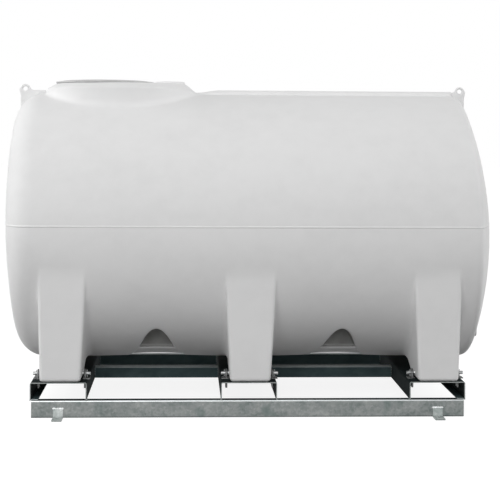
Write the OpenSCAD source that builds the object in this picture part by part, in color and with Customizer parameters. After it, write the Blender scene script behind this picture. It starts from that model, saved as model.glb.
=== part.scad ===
// Horizontal polyethylene tank with moulded legs, standing on a galvanised steel frame.
// Frame of reference: X along the tank, Y across it (front at -Y), Z up from the ground.
// Lengths are in millimetres and angles in degrees.

/* [Tank] */
// Outside diameter of the barrel
tank_d = 1610; // [1300:10:2000]
// Overall length over the dished ends
tank_l = 2920; // [2600:10:3600]
// Wall thickness of the moulding
wall_t = 12; // [8:1:16]
// Depth of each dished end
end_depth = 185; // [150:5:260]
// Radius of the knuckle between barrel and dished end
knuckle_r = 90; // [50:5:130]
// Height of the belly's lowest line above the soles of the feet
belly_rise = 47; // [30:1:120]
// Height of the mould seam above the axis of the barrel
seam_rise = 36; // [0:2:100]
// How far the mould seam stands proud
seam_proud = 6; // [3:1:10]
// Thickness of the mould seam
seam_t = 10; // [6:1:16]

/* [Legs] */
// Distance between the centres of neighbouring legs
leg_pitch = 1083; // [950:1:1150]
// Width of a foot along the tank
foot_w = 232; // [180:2:270]
// Depth of a foot across the tank
foot_depth = 270; // [200:5:320]
// How far the foot stands back from the front of the frame
foot_setback = 6; // [2:1:40]
// Draft of a leg's flanks, except those that face the tank's ends
leg_draft = 3.1; // [0.5:0.1:4]
// Draft of the flanks that face the tank's ends
outer_draft = 0.9; // [0.3:0.1:3]
// Lean of the inner face of a leg
leg_lean = 14; // [5:1:25]
// Height below the barrel's axis at which the leg's outer face runs out
leg_runout = 150; // [100:5:250]
// Radius of the lower corners of a leg
foot_corner_r = 20; // [8:1:35]

/* [Belly pockets] */
// Width of the arched pocket between two legs, at its floor
scoop_w = 192; // [120:2:240]
// Height of the pocket's arch above its floor
scoop_h = 118; // [60:2:140]
// Height of the pocket's floor above the belly's lowest line
scoop_rise = 118; // [100:2:160]
// Distance from the tank's centre line to the blind end of the pocket
scoop_end = 320; // [250:5:380]

/* [Manway] */
// Distance of the manway's centre from the middle of the tank
neck_offset = 775; // [500:5:800]
// Length of the manway's collar along the tank
neck_l = 910; // [700:10:1000]
// Width of the manway's collar across the tank
neck_w = 700; // [620:10:900]
// Radius of the collar's corners in plan
neck_corner_r = 250; // [150:10:300]
// Height of the collar's upright wall above the top of the barrel
neck_rise = 34; // [15:1:60]
// Height of the sloping shoulder above the upright wall
shoulder_h = 31; // [15:1:60]
// How far the shoulder slopes in
shoulder_in = 60; // [30:1:90]
// Diameter of the lid
lid_d = 586; // [450:2:590]
// Height of the lid's rim above the neck
lid_h = 14; // [8:1:30]
// Rise of the lid's raised centre above its rim
lid_crown = 8; // [3:1:20]
// Width of the bevel between the lid's rim and its raised centre
lid_bevel = 70; // [20:5:120]
// Distance of the lid's centre from the manway's centre
lid_shift = 100; // [0:5:100]
// Seat that the lid's rim rests on, outside the mouth
lid_seat = 20; // [10:1:30]
// Diameter of the breather boss beside the lid
breather_d = 186; // [80:2:190]
// Height of the breather boss
breather_h = 15; // [5:1:25]

/* [Ridge and lifting lugs] */
// Height of the top ridge above the barrel
ridge_h = 30; // [15:1:40]
// Width of the top ridge
ridge_w = 44; // [30:1:80]
// Thickness of a lifting lug
lug_t = 24; // [16:1:40]
// Radius of a lug's head
lug_r = 28; // [24:1:40]
// Diameter of a lug's lifting hole
lug_hole_d = 29; // [18:1:36]
// Height of the lifting hole above the top of the barrel
lug_hole_rise = 33; // [25:1:60]
// Distance of the left lifting hole outside the start of the knuckle
lug_out_left = 95; // [60:1:95]
// Distance of the right lifting hole outside the start of the knuckle
lug_out_right = 62; // [60:1:95]

/* [Outlet] */
// Bore of the outlet fitting
outlet_bore_d = 50; // [25:1:80]
// Diameter of the outlet's flange
outlet_flange_d = 120; // [100:2:160]
// Diameter of the outlet's boss
outlet_boss_d = 84; // [84:1:98]
// Height of the outlet's axis above the belly's lowest line
outlet_rise = 150; // [120:5:300]
// Least thickness of the outlet's flange outside the dished end
outlet_pad_t = 8; // [4:1:20]
// How far the outlet's boss stands proud of its flange
outlet_proud = 22; // [5:1:25]

/* [Frame] */
// Overall length of the frame
frame_l = 2470; // [2470:5:2800]
// Overall width of the frame
frame_w = 1480; // [1400:5:1560]
// How far the middle of the frame stands to the left of the middle of the tank
frame_shift = 8; // [0:1:10]
// Height of a side rail
rail_h = 100; // [75:1:150]
// Width of a rail's flanges
rail_flange = 50; // [35:1:75]
// Thickness of the rails
rail_t = 6; // [4:0.5:8]
// Width of a bearer
bearer_w = 320; // [300:2:360]
// Height of a bearer
bearer_h = 100; // [75:1:150]
// Thickness of the bearers' folded plate
bearer_t = 5; // [3:0.5:8]
// Height of the spreaders between the bearers
spreader_h = 72; // [50:1:75]
// Width of the spreaders' flanges
spreader_flange = 40; // [25:1:60]
// Distance of the rear spreaders behind the tank's centre line
spreader_back = 500; // [300:10:600]
// Thickness of the spreaders
spreader_t = 5; // [3:0.5:8]
// Outside bend radius of the rails, bearers and spreaders
bend_r = 10; // [9:0.5:14]

/* [Foot pins] */
// Diameter of the pin through a foot
pin_d = 25; // [16:1:32]
// Length of pin showing on each side of the foot
pin_out = 48; // [44:1:60]
// Height of the pin's axis above the bearer
pin_rise = 30; // [28:1:60]
// Diameter of the U-bolts' rod
bolt_d = 12; // [8:1:14]
// Distance of a U-bolt from the flank of the foot
bolt_out = 18; // [14:1:22]
// Length of a U-bolt below the top of the bearer
bolt_drop = 52; // [35:1:70]
// Running clearance round pins and rods
pin_gap = 0.3; // [0.2:0.1:0.8]

/* [Hold-down brackets] */
// Width of a bracket
bracket_w = 56; // [40:1:80]
// Height of a bracket's upright leaf
bracket_h = 54; // [40:1:70]
// Length of a bracket's foot
bracket_l = 100; // [80:1:140]
// Thickness of a bracket
bracket_t = 8; // [5:1:12]
// Diameter of a bracket's bolt hole
bracket_hole_d = 18; // [12:1:22]

/* [Hidden] */

$fn = 96;
eps = 1;                                        // overcut that keeps cuts clean
lug_slope = 50;                                 // direction in which the lug's neck meets its head
leg_ledge = 20;                                 // the leg stops this far below its run-out
blend_in = 0.01;                                // the crown crosses the knuckle rather than grazing it
poly_col = [0.90, 0.90, 0.89];
steel_col = [0.52, 0.55, 0.56];
lid_col = [0.62, 0.63, 0.63];

sole_z = rail_h + bearer_h;                     // the feet stand on the bearers
tank_r = tank_d / 2;
belly_z = sole_z + belly_rise;
axis_z = belly_z + tank_r;
crest_z = axis_z + tank_r;
seam_z = axis_z + seam_rise;
seam_steps = 16;
barrel_x = tank_l / 2 - end_depth;              // plane where the barrel meets a dished end
crown_r = (pow(tank_r - knuckle_r, 2) + pow(end_depth, 2) - pow(knuckle_r, 2))
    / (2 * (end_depth - knuckle_r));            // radius of the dished end's crown
foot_front = frame_w / 2 - foot_setback;
foot_back = foot_front - foot_depth;
runout_z = axis_z - leg_runout;
runout_y = sqrt(pow(tank_r, 2) - pow(leg_runout, 2));
pin_y = foot_front - foot_depth / 2;
pin_z = sole_z + pin_rise;
pin_len = 2 * (leg_half_w(pin_z) + pin_out);
bolt_x = leg_half_w(sole_z) + bolt_out;
bolt_r = bolt_d / 2;
bolt_bend_r = pin_d / 2 + pin_gap + bolt_r;     // the U-bolt's rod lies on the pin
tunnel_r = pin_d / 2 + pin_gap;                 // moulded hole that the pin passes through
scoop_z = belly_z + scoop_rise;
scoop_steps = 12;
neck_x = -neck_offset;
collar_z = crest_z + neck_rise;
neck_top_z = collar_z + shoulder_h;
lid_x = neck_x - lid_shift;
mouth_r = lid_d / 2 - lid_seat;
breather_x = neck_x + neck_l / 2 - shoulder_in - breather_d / 2 - 5;
lug_z = crest_z + lug_hole_rise;
outlet_z = belly_z + outlet_rise;

// Half the width of a leg at a height above the ground, on a flank of the given draft
function leg_half_w(z, draft = leg_draft) = foot_w / 2 + (z - sole_z) * tan(draft);

// Draft of the right flank of the leg on a side: -1 is left, 0 is middle and 1 is right
function flank_draft(side) = side > 0 ? outer_draft : leg_draft;

// Points of an arc, from angle a0 to angle a1
function arc(cx, cy, r, a0, a1, n = 6) =
    [for (i = [0:n]) let (a = a0 + (a1 - a0) * i / n) [cx + r * cos(a), cy + r * sin(a)]];

// ---- Solids of the tank ----

// Half profile of a dished end, set in by the given amount: the crown runs onto the knuckle
module dish_profile(inset) {
    lean = atan2(crown_r - end_depth, tank_r - knuckle_r);
    reach = crown_r + end_depth;
    touch = [reach * cos(lean), end_depth - crown_r + reach * sin(lean)];
    intersection() {
        translate([0, end_depth - crown_r]) circle(r = crown_r - inset - blend_in, $fn = 1440);
        union() {
            polygon([[0, 0], [tank_r - knuckle_r, 0], touch, [0, touch[1]]]);
            translate([tank_r - knuckle_r, 0]) intersection() {
                circle(r = knuckle_r - inset);
                square(knuckle_r);
            }
        }
    }
}

// Solid dished end on the +X side, from the barrel's edge outwards
module dish(inset = 0) {
    translate([barrel_x, 0, axis_z]) rotate([0, 90, 0])
        rotate_extrude($fn = 360) dish_profile(inset);
}

// Solid cylinder on the tank's axis
module barrel_core(r, half_l = barrel_x) {
    translate([-half_l, 0, axis_z]) rotate([0, 90, 0]) cylinder(r = r, h = 2 * half_l, $fn = 360);
}

// Whole outside of the tank, without legs and fittings
module tank_body() {
    barrel_core(tank_r);
    dish();
    mirror([1, 0, 0]) dish();
}

// Block from the lower height to the upper one, wider than the tank
module slab(z0, z1) {
    translate([-tank_l, -tank_d, z0]) cube([2 * tank_l, 2 * tank_d, z1 - z0]);
}

// ---- Legs ----

// Outline of a leg from the front: drafted flanks and rounded lower corners
module leg_front_outline(side, inset, top) {
    r = max(foot_corner_r - inset, 2);
    low = sole_z + inset;
    right = flank_draft(side);
    left = flank_draft(-side);
    polygon(concat(
        arc(leg_half_w(low, right) - inset - r, low + r, r, -90, 0),
        [[leg_half_w(top, right) - inset, top], [inset - leg_half_w(top, left), top]],
        arc(inset + r - leg_half_w(low, left), low + r, r, 180, 270)
    ));
}

// Outline of a leg from the side: the outer face rises to the barrel's flank
module leg_side_outline(inset, top) {
    rake = (runout_y - foot_front) / (runout_z - sole_z);
    lean = tan(leg_lean);
    front = foot_front - inset;
    back = foot_back + inset;
    polygon([
        [-front - rake * inset, sole_z + inset],
        [-front - rake * (top - sole_z), top],
        [-back + lean * (top - sole_z), top],
        [-back + lean * inset, sole_z + inset]
    ]);
}

// Solid of a front leg about x = 0, set in by the given amount
module leg_solid(side, inset = 0) {
    top = runout_z - leg_ledge;
    intersection() {
        rotate([90, 0, 0])
            linear_extrude(height = 2 * tank_d, center = true) leg_front_outline(side, inset, top);
        rotate([90, 0, 90])
            linear_extrude(height = 2 * foot_w, center = true) leg_side_outline(inset, top);
    }
}

// Cylinder along X through a foot at the height of its pin
module foot_bore(r, half_l) {
    translate([-half_l, -pin_y, pin_z]) rotate([0, 90, 0]) cylinder(r = r, h = 2 * half_l);
}

// Hollow front leg with the tunnel for its pin
module leg(side) {
    color(poly_col) difference() {
        union() {
            difference() {
                leg_solid(side);
                leg_solid(side, wall_t);
            }
            intersection() {
                leg_solid(side);
                foot_bore(tunnel_r + wall_t, foot_w);
            }
        }
        foot_bore(tunnel_r, foot_w);
        barrel_core(tank_r);
    }
}

// Steps along X for the left, middle and right positions
function station(i) = (i - 1) * leg_pitch;

// Puts a front piece at a station, or its mirror image at the rear
module place(i, rear = false) {
    translate([station(i), 0, 0]) mirror([0, rear ? 1 : 0, 0]) children();
}

// ---- Barrel and ends ----

// Blind pocket about x = 0 in the front of the belly: a parabolic arch over a flat floor
module scoop(grow = 0) {
    w = scoop_w / 2 + grow;
    h = scoop_h + 2 * grow;
    translate([0, grow - scoop_end, scoop_z - grow]) rotate([90, 0, 0])
        linear_extrude(height = tank_r) polygon(
            [for (k = [-scoop_steps:scoop_steps]) [w * k / scoop_steps, h * (1 - pow(k / scoop_steps, 2))]]
        );
}

// Puts its children in both bays, front and rear
module in_bays() {
    for (side = [-1, 1])
        translate([side * leg_pitch / 2, 0, 0]) {
            children();
            mirror([0, 1, 0]) children();
        }
}

module lower_barrel() {
    color(poly_col) difference() {
        union() {
            difference() {
                barrel_core(tank_r);
                barrel_core(tank_r - wall_t, barrel_x + eps);
            }
            intersection() {
                barrel_core(tank_r - wall_t / 2);
                in_bays() scoop(wall_t);
            }
        }
        in_bays() scoop();
        for (i = [0:2], rear = [false, true])
            place(i, rear) leg_solid(i - 1, wall_t);
        slab(seam_z, crest_z + tank_d);
    }
}

module upper_barrel() {
    color(poly_col) difference() {
        barrel_core(tank_r);
        barrel_core(tank_r - wall_t, barrel_x + eps);
        slab(belly_z - tank_d, seam_z);
        neck_solid(wall_t);
    }
}

module right_end() {
    color(poly_col) difference() {
        dish();
        dish(wall_t);
        outlet_axis() cylinder(d = outlet_boss_d, h = 4 * end_depth, center = true);
    }
}

module left_end() {
    color(poly_col) mirror([1, 0, 0]) difference() {
        dish();
        dish(wall_t);
    }
}

// A quarter of the tank's plan outline at height h above its axis, grown outwards.
function seam_knuckle(h, grow, a) =
    let (r = tank_r - knuckle_r + (knuckle_r + grow) * cos(a))
    [barrel_x + (knuckle_r + grow) * sin(a), sqrt(r * r - h * h)];
function seam_crown(h, grow, t) =
    let (r = (crown_r + grow) * cos(t))
    [barrel_x + end_depth - crown_r + (crown_r + grow) * sin(t), sqrt(max(0, r * r - h * h))];
function seam_quarter(h, grow) =
    let (lean = atan2(crown_r - end_depth, tank_r - knuckle_r), last = acos(h / (crown_r + grow)))
    concat(
        [for (k = [0:seam_steps - 1]) seam_knuckle(h, grow, lean * k / seam_steps)],
        [for (k = [0:seam_steps]) seam_crown(h, grow, lean + (last - lean) * k / seam_steps)]
    );
function seam_outline(h, grow) =
    let (q = seam_quarter(h, grow), n = len(q))
    concat(
        [for (k = [0:n - 1]) [q[k][0], -q[k][1]]],
        [for (k = [n - 2:-1:0]) q[k]],
        [for (k = [0:n - 1]) [-q[k][0], q[k][1]]],
        [for (k = [n - 2:-1:0]) [-q[k][0], -q[k][1]]]
    );

// The parting line the two mould halves leave: a flat band round the whole tank.
module mould_seam() {
    color(poly_col) translate([0, 0, seam_z - seam_t / 2])
        linear_extrude(height = seam_t) difference() {
            polygon(seam_outline(seam_rise, seam_proud));
            polygon(seam_outline(seam_rise - seam_t / 2, 0));
        }
}

// ---- Manway ----

// Block with rounded corners in plan, whose sides may slope in by the given amount
module pad(l, w, r, h, slope = 0) {
    for (x = [-1, 1], y = [-1, 1])
        translate([x * (l / 2 - r), y * (w / 2 - r), 0]) cylinder(r1 = r, r2 = r - slope, h = h);
    rotate([90, 0, 90]) linear_extrude(height = l - 2 * r, center = true) pad_section(w, h, slope);
    rotate([90, 0, 0]) linear_extrude(height = w - 2 * r, center = true) pad_section(l, h, slope);
}

module pad_section(w, h, slope) {
    polygon([[-w / 2, 0], [w / 2, 0], [w / 2 - slope, h], [-w / 2 + slope, h]]);
}

// Solid of the manway's collar, set in by the given amount, down to the barrel's axis
module neck_solid(inset = 0) {
    l = neck_l - 2 * inset;
    w = neck_w - 2 * inset;
    r = neck_corner_r - inset;
    translate([neck_x, 0, 0]) {
        translate([0, 0, axis_z]) pad(l, w, r, collar_z - axis_z - inset / 2);
        translate([0, 0, collar_z - inset / 2])
            pad(l, w, r, shoulder_h - inset / 2, shoulder_in);
    }
}

module manway_neck() {
    color(poly_col) difference() {
        union() {
            difference() {
                neck_solid();
                neck_solid(wall_t);
            }
            translate([breather_x, 0, neck_top_z - wall_t / 2])
                cylinder(d1 = breather_d, d2 = breather_d - breather_h, h = breather_h + wall_t / 2);
        }
        translate([lid_x, 0, collar_z - wall_t]) cylinder(r = mouth_r, h = tank_r);
        barrel_core(tank_r);
    }
}

module manway_lid() {
    r = lid_d / 2;
    plug = mouth_r - pin_gap;
    color(lid_col) translate([lid_x, 0, neck_top_z]) {
        difference() {
            union() {
                cylinder(r = r, h = lid_h);
                translate([0, 0, lid_h]) cylinder(r1 = r, r2 = r - lid_bevel, h = lid_crown);
            }
            translate([0, 0, -eps]) cylinder(r = plug - wall_t / 2, h = lid_h / 2 + eps);
        }
        translate([0, 0, -wall_t]) difference() {
            cylinder(r = plug, h = wall_t + lid_h / 2);
            translate([0, 0, -eps]) cylinder(r = plug - wall_t / 2, h = wall_t + lid_h);
        }
    }
}

// ---- Ridge and lugs ----

// Rib along the crest from x0 to x1
module ridge(x0, x1) {
    base = crest_z - ridge_w / 2;
    color(poly_col) difference() {
        translate([x0, 0, 0]) rotate([90, 0, 90]) linear_extrude(height = x1 - x0)
            polygon(concat(
                [[-ridge_w / 2, base], [ridge_w / 2, base]],
                arc(0, crest_z + ridge_h - ridge_w / 2, ridge_w / 2, 0, 180, 12)
            ));
        barrel_core(tank_r);
        neck_solid();
    }
}

// Flat ear over the right-hand knuckle, with its lifting hole the given distance out
module lifting_lug(out) {
    lug_x = barrel_x + out;
    color(poly_col) difference() {
        rotate([90, 0, 0]) {
            translate([lug_x, lug_z, 0]) cylinder(r = lug_r, h = lug_t, center = true);
            linear_extrude(height = lug_t, center = true) polygon([
                [barrel_x, crest_z - knuckle_r / 2],
                [barrel_x, crest_z + ridge_h - ridge_w / 6],
                [lug_x - lug_r * cos(lug_slope), lug_z + lug_r * sin(lug_slope)],
                [lug_x, lug_z],
                [lug_x + lug_r, lug_z],
                [lug_x + lug_r, lug_z - 1.2 * knuckle_r],
                [lug_x - knuckle_r, lug_z - 2 * knuckle_r]
            ]);
        }
        translate([lug_x, 0, lug_z]) rotate([90, 0, 0])
            cylinder(d = lug_hole_d, h = 2 * lug_t, center = true);
        tank_body();
    }
}

// ---- Outlet ----

// Puts a child on the outlet's axis, with its own Z along +X
module outlet_axis() {
    translate([barrel_x, 0, outlet_z]) rotate([0, 90, 0]) children();
}

module outlet_fitting() {
    inner = dish_depth(axis_z - outlet_z) - 3 * wall_t;
    face = dish_depth(axis_z - outlet_z - outlet_flange_d / 2) + outlet_pad_t;
    color(poly_col) difference() {
        union() {
            outlet_axis() translate([0, 0, inner])
                cylinder(d = outlet_boss_d, h = face + outlet_proud - inner);
            difference() {
                outlet_axis() cylinder(d = outlet_flange_d, h = face);
                dish();
            }
        }
        outlet_axis() cylinder(d = outlet_bore_d, h = 4 * end_depth, center = true);
    }
}

// Depth of the dished end's crown at a distance from the barrel's axis
function dish_depth(r) = end_depth - crown_r + sqrt(pow(crown_r, 2) - pow(r, 2));

// ---- Frame ----

// Moves the frame's pieces to the frame's own middle
module on_frame() {
    translate([-frame_shift, 0, 0]) children();
}

// Channel section: web on the left, flanges to the right, outside corners bent
module channel_section(h, flange, t) {
    inner_r = bend_r - t;
    polygon(concat(
        [[flange, 0]],
        [for (p = arc(bend_r, bend_r, bend_r, 270, 180)) p],
        arc(bend_r, h - bend_r, bend_r, 180, 90),
        [[flange, h], [flange, h - t]],
        arc(bend_r, h - bend_r, inner_r, 90, 180),
        arc(bend_r, bend_r, inner_r, 180, 270),
        [[flange, t]]
    ));
}

// Side rail along the front, web outwards
module rail() {
    color(steel_col) translate([-frame_l / 2, -frame_w / 2, 0]) rotate([90, 0, 90])
        linear_extrude(height = frame_l) channel_section(rail_h, rail_flange, rail_t);
}

// Folded bearer of inverted U section across both rails, about x = 0
module bearer() {
    half = bearer_w / 2;
    inner_r = bend_r - bearer_t;
    color(steel_col) difference() {
        translate([0, frame_w / 2, rail_h]) rotate([90, 0, 0]) linear_extrude(height = frame_w)
            polygon(concat(
                [[-half, 0]],
                arc(-half + bend_r, bearer_h - bend_r, bend_r, 180, 90),
                arc(half - bend_r, bearer_h - bend_r, bend_r, 90, 0),
                [[half, 0], [half - bearer_t, 0]],
                arc(half - bend_r, bearer_h - bend_r, inner_r, 0, 90),
                arc(-half + bend_r, bearer_h - bend_r, inner_r, 90, 180),
                [[-half + bearer_t, 0]]
            ));
        for (side = [-1, 1], rear = [-1, 1], leg_side = [-1, 1])
            translate([
                frame_shift + side * bolt_x, rear * pin_y + leg_side * bolt_bend_r,
                sole_z - 2 * bearer_t
            ]) cylinder(r = bolt_r + pin_gap, h = 3 * bearer_t);
    }
}

// Channel between two bearers in a bay: -1 is the left bay and 1 the right
module spreader(bay, back = 0) {
    l = leg_pitch - bearer_w;
    color(steel_col) translate([bay * leg_pitch / 2 - l / 2, back - spreader_flange / 2, rail_h])
        rotate([90, 0, 90])
        linear_extrude(height = l) channel_section(spreader_h, spreader_flange, spreader_t);
}

module pin() {
    color(steel_col) foot_bore(pin_d / 2, pin_len / 2);
}

// The two U-bolts that hold a foot's pin down on the bearer
module u_bolts() {
    color(steel_col) for (side = [-1, 1]) translate([side * bolt_x, -pin_y, pin_z]) {
        rotate([90, 0, 90]) rotate_extrude(angle = 180)
            translate([bolt_bend_r, 0]) circle(r = bolt_r, $fn = 48);
        for (leg_side = [-1, 1])
            translate([0, leg_side * bolt_bend_r, -pin_rise - bolt_drop])
                cylinder(r = bolt_r, h = pin_rise + bolt_drop, $fn = 48);
    }
}

// Angle welded to the outside of the front rail, under a bearer
module hold_down() {
    face = -frame_w / 2;
    color(steel_col) difference() {
        translate([-bracket_w / 2, face, 0]) rotate([90, 0, 90]) linear_extrude(height = bracket_w)
            polygon([
                [0, 0], [-bracket_l, 0], [-bracket_l, bracket_t], [-bracket_t, bracket_t],
                [-bracket_t, bracket_h], [0, bracket_h]
            ]);
        translate([0, face - (bracket_l + bracket_t) / 2, -eps])
            cylinder(d = bracket_hole_d, h = bracket_t + 2 * eps);
    }
}

// ---- Assembly ----

upper_barrel();
lower_barrel();
left_end();
right_end();
manway_neck();
manway_lid();
ridge(-barrel_x, neck_x);  // ridge_left
ridge(neck_x, barrel_x);  // ridge_right
mirror([1, 0, 0]) lifting_lug(lug_out_left);  // lifting_lug_left
lifting_lug(lug_out_right);  // lifting_lug_right
mould_seam();
outlet_fitting();
place(0) leg(-1);  // leg_front_left
place(1) leg(0);  // leg_front_middle
place(2) leg(1);  // leg_front_right
place(0, true) leg(-1);  // leg_rear_left
place(1, true) leg(0);  // leg_rear_middle
place(2, true) leg(1);  // leg_rear_right
on_frame() rail();  // front_rail
on_frame() mirror([0, 1, 0]) rail();  // rear_rail
on_frame() place(0) bearer();  // bearer_left
on_frame() place(1) bearer();  // bearer_middle
on_frame() place(2) bearer();  // bearer_right
on_frame() spreader(-1);  // spreader_left
on_frame() spreader(1);  // spreader_right
on_frame() spreader(-1, spreader_back);  // spreader_rear_left
on_frame() spreader(1, spreader_back);  // spreader_rear_right
place(0) pin();  // pin_front_left
place(1) pin();  // pin_front_middle
place(2) pin();  // pin_front_right
place(0, true) pin();  // pin_rear_left
place(1, true) pin();  // pin_rear_middle
place(2, true) pin();  // pin_rear_right
place(0) u_bolts();  // u_bolts_front_left
place(1) u_bolts();  // u_bolts_front_middle
place(2) u_bolts();  // u_bolts_front_right
place(0, true) u_bolts();  // u_bolts_rear_left
place(1, true) u_bolts();  // u_bolts_rear_middle
place(2, true) u_bolts();  // u_bolts_rear_right
on_frame() place(0) hold_down();  // hold_down_front_left
on_frame() place(2) hold_down();  // hold_down_front_right
on_frame() place(0, true) hold_down();  // hold_down_rear_left
on_frame() place(2, true) hold_down();  // hold_down_rear_right
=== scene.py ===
"""Looks of a horizontal polyethylene tank on a galvanised steel frame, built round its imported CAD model."""

import math

import bmesh
import bpy
import numpy as np
from mathutils import Matrix, Vector


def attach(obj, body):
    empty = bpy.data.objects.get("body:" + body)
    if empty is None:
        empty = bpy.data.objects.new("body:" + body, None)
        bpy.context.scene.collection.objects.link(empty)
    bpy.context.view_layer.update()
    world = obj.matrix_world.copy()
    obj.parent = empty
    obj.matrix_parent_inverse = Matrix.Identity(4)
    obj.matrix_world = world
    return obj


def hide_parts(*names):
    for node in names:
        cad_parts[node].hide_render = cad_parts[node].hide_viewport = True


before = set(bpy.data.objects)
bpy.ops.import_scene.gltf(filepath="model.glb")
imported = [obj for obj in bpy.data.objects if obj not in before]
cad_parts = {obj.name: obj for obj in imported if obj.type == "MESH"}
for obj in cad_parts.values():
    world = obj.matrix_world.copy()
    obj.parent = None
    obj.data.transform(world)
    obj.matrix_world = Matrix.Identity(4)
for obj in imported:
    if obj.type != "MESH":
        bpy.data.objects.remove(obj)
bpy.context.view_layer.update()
SCENE = bpy.context.scene

# ---- Sizes of the tank, in metres ----

RADIUS, BARREL_X, END_DEPTH = 0.805, 1.275, 0.185
BELLY_Z = 0.247
AXIS_Z = BELLY_Z + RADIUS
CREST_Z = AXIS_Z + RADIUS
SEAM_Z = AXIS_Z + 0.036
SEAM_HALF, SEAM_PROUD, SEAM_SUNK = 0.0055, 0.0024, 0.004
# Start of the knuckle, depth, knuckle radius and outward rake of each end as it came out of the mould
LEFT_END = (1.236, 0.224, 0.160, 0.017)
RIGHT_END = (1.292, 0.191, 0.040, -0.0275)
# How far the sides are pressed upright, as a share, and the length over which that fades at the ends
FLATNESS, FLAT_FADE = 0.08, 0.30
# Rise of the underside between two legs, and half the length it takes
HOLLOW, HOLLOW_HALF = 0.010, 0.42

# Legs: middles along the tank, the foot's half length, front and back, and the slopes of its faces
SOLE_Z = 0.200
LEG_PITCH = 1.083
STATIONS = {"left": -LEG_PITCH, "middle": 0.0, "right": LEG_PITCH}
ROWS = {"front": -1, "rear": 1}
FOOT_HALF, FOOT_FRONT, FOOT_BACK = 0.116, 0.734, 0.464
RUNOUT_DROP = 0.205
RUNOUT_Z = AXIS_Z - RUNOUT_DROP
RUNOUT_Y = math.sqrt(RADIUS**2 - RUNOUT_DROP**2)
RUNOUT_SLOPE, RUNOUT_BLEND = 0.3, 0.010
DRAFT, OUTER_DRAFT = math.tan(math.radians(3.1)), math.tan(math.radians(0.9))
LEAN, GUSSET_LEAN = math.tan(math.radians(14)), math.tan(math.radians(66))
GUSSET_IN, GUSSET_BLEND = 0.004, 0.030
LEG_EDGE, LEG_INNER_EDGE = 0.020, 0.025

# Belly pockets, and the flared lip below each one's floor
POCKET_HALF, POCKET_H, POCKET_END = 0.104, 0.138, 0.320
POCKET_Z = BELLY_Z + 0.098
POCKET_EDGE = 0.010
LIP_FLARE, LIP_DEPTH, LIP_EDGE, LIP_BLEND = 0.8, 0.013, 0.008, 0.024

# Manway neck, an oval of exponent NECK_ROUND with a sloping shoulder
NECK_X, NECK_L, NECK_W, NECK_ROUND = -0.775, 0.910, 0.750, 2.3
COLLAR_Z = CREST_Z + 0.034
NECK_TOP = COLLAR_Z + 0.031
COLLAR_DROP = 0.018
SHOULDER_IN, NECK_EDGE, NECK_BLEND = 0.060, 0.008, 0.034
LID_X, LID_R, LID_H = -0.877, 0.304, 0.022
BREATHER_X, BREATHER_R, BREATHER_H, BREATHER_BLEND = -0.478, 0.093, 0.015, 0.010

# Ridge and lifting ears
RIDGE_H, RIDGE_W, RIDGE_BLEND = 0.030, 0.044, 0.007
RIDGE_START, RIDGE_RISE = 0.45, 0.16
LUG_X = {"left": -1.370, "right": 1.337}
LUG_Z, LUG_R, LUG_HOLE, LUG_T = 1.890, 0.028, 0.0145, 0.024
LUG_DROP, LUG_SLOPE, LUG_EDGE, WING_BLEND = 0.108, 0.61, 0.006, 0.030

# Outlet: the flange's face and the boss's length are measured outwards from the barrel's end
OUTLET_Z = BELLY_Z + 0.150
OUTLET_FLANGE, OUTLET_BOSS, OUTLET_BORE = 0.060, 0.042, 0.025
OUTLET_BACK, OUTLET_FACE, BOSS_L, BORE_L = 0.04, 0.1515, 0.022, 0.045

# ---- Sizes of the steel, in metres ----

PIN_Y, PIN_Z, PIN_R, PIN_HALF = 0.599, 0.230, 0.0125, 0.1656
PIN_STEP, SHOULDER_GAP = 0.003, 0.012
SPLIT_PIN_IN, SPLIT_PIN_HALF, SPLIT_PIN_R = 0.020, 0.020, 0.0018
BOLT_X, BOLT_R, BOLT_BEND, BOLT_LOW = 0.134, 0.006, 0.0188, 0.148
WASHER_R, WASHER_T, NUT_ACROSS, NUT_H = 0.012, 0.0025, 0.019, 0.011
PLATE_GAP, PLATE_L, PLATE_HALF, PLATE_T = 0.004, 0.042, 0.033, 0.005
FRAME_Y, RAIL_H, FRAME_SHIFT = 0.740, 0.100, -0.008
BEARER_HALF, BEARER_TOP, BEARER_T = 0.160, 0.200, 0.005
SPREADER_BACK, SPREADER_FACE = 0.500, 0.021
BRACKET_TOP, BRACKET_HALF = 0.054, 0.034
END_LIP_W, END_LIP_T = 0.042, 0.005
RAIL_BEAD, SPREADER_BEAD, BRACKET_BEAD = 0.005, 0.004, 0.009
BEAD_STEP, BEAD_SIDES = 0.0025, 8

# ---- Light and camera: plain strengths, the camera's place and turns, its sensor and lens in mm ----

HORIZON, OVERHEAD = 0.96, 0.32
FLOOR_DIM, FLOOR_PALE, FLOOR_GLOW, FLOOR_HALF = 0.14, 0.30, 0.86, 60.0
CAMERA_AT, CAMERA_TURN, CAMERA_ROLL = (-0.3718, -8.6102, 1.6101), 0.0458, 0.0058
SENSOR, LENS, SHIFT_Y = 36.0, 99.4968, -0.22996


# ---- Small helpers ----


def link(obj):
    SCENE.collection.objects.link(obj)
    return obj


def finish_piece(obj, material, replaces=()):
    """Material and body of a piece that is in place; the CAD parts it replaces are hidden."""
    obj.data.materials.clear()
    obj.data.materials.append(material)
    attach(obj, "root")
    if replaces:
        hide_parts(*replaces)


def smooth_faces(mesh):
    mesh.polygons.foreach_set("use_smooth", [True] * len(mesh.polygons))


def mesh_from(name, verts, faces):
    """Smooth-shaded object from plain lists of points and faces."""
    mesh = bpy.data.meshes.new(name)
    mesh.from_pydata([tuple(v) for v in verts], [], [tuple(f) for f in faces])
    mesh.validate()
    mesh.update()
    smooth_faces(mesh)
    return link(bpy.data.objects.new(name, mesh))


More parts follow.
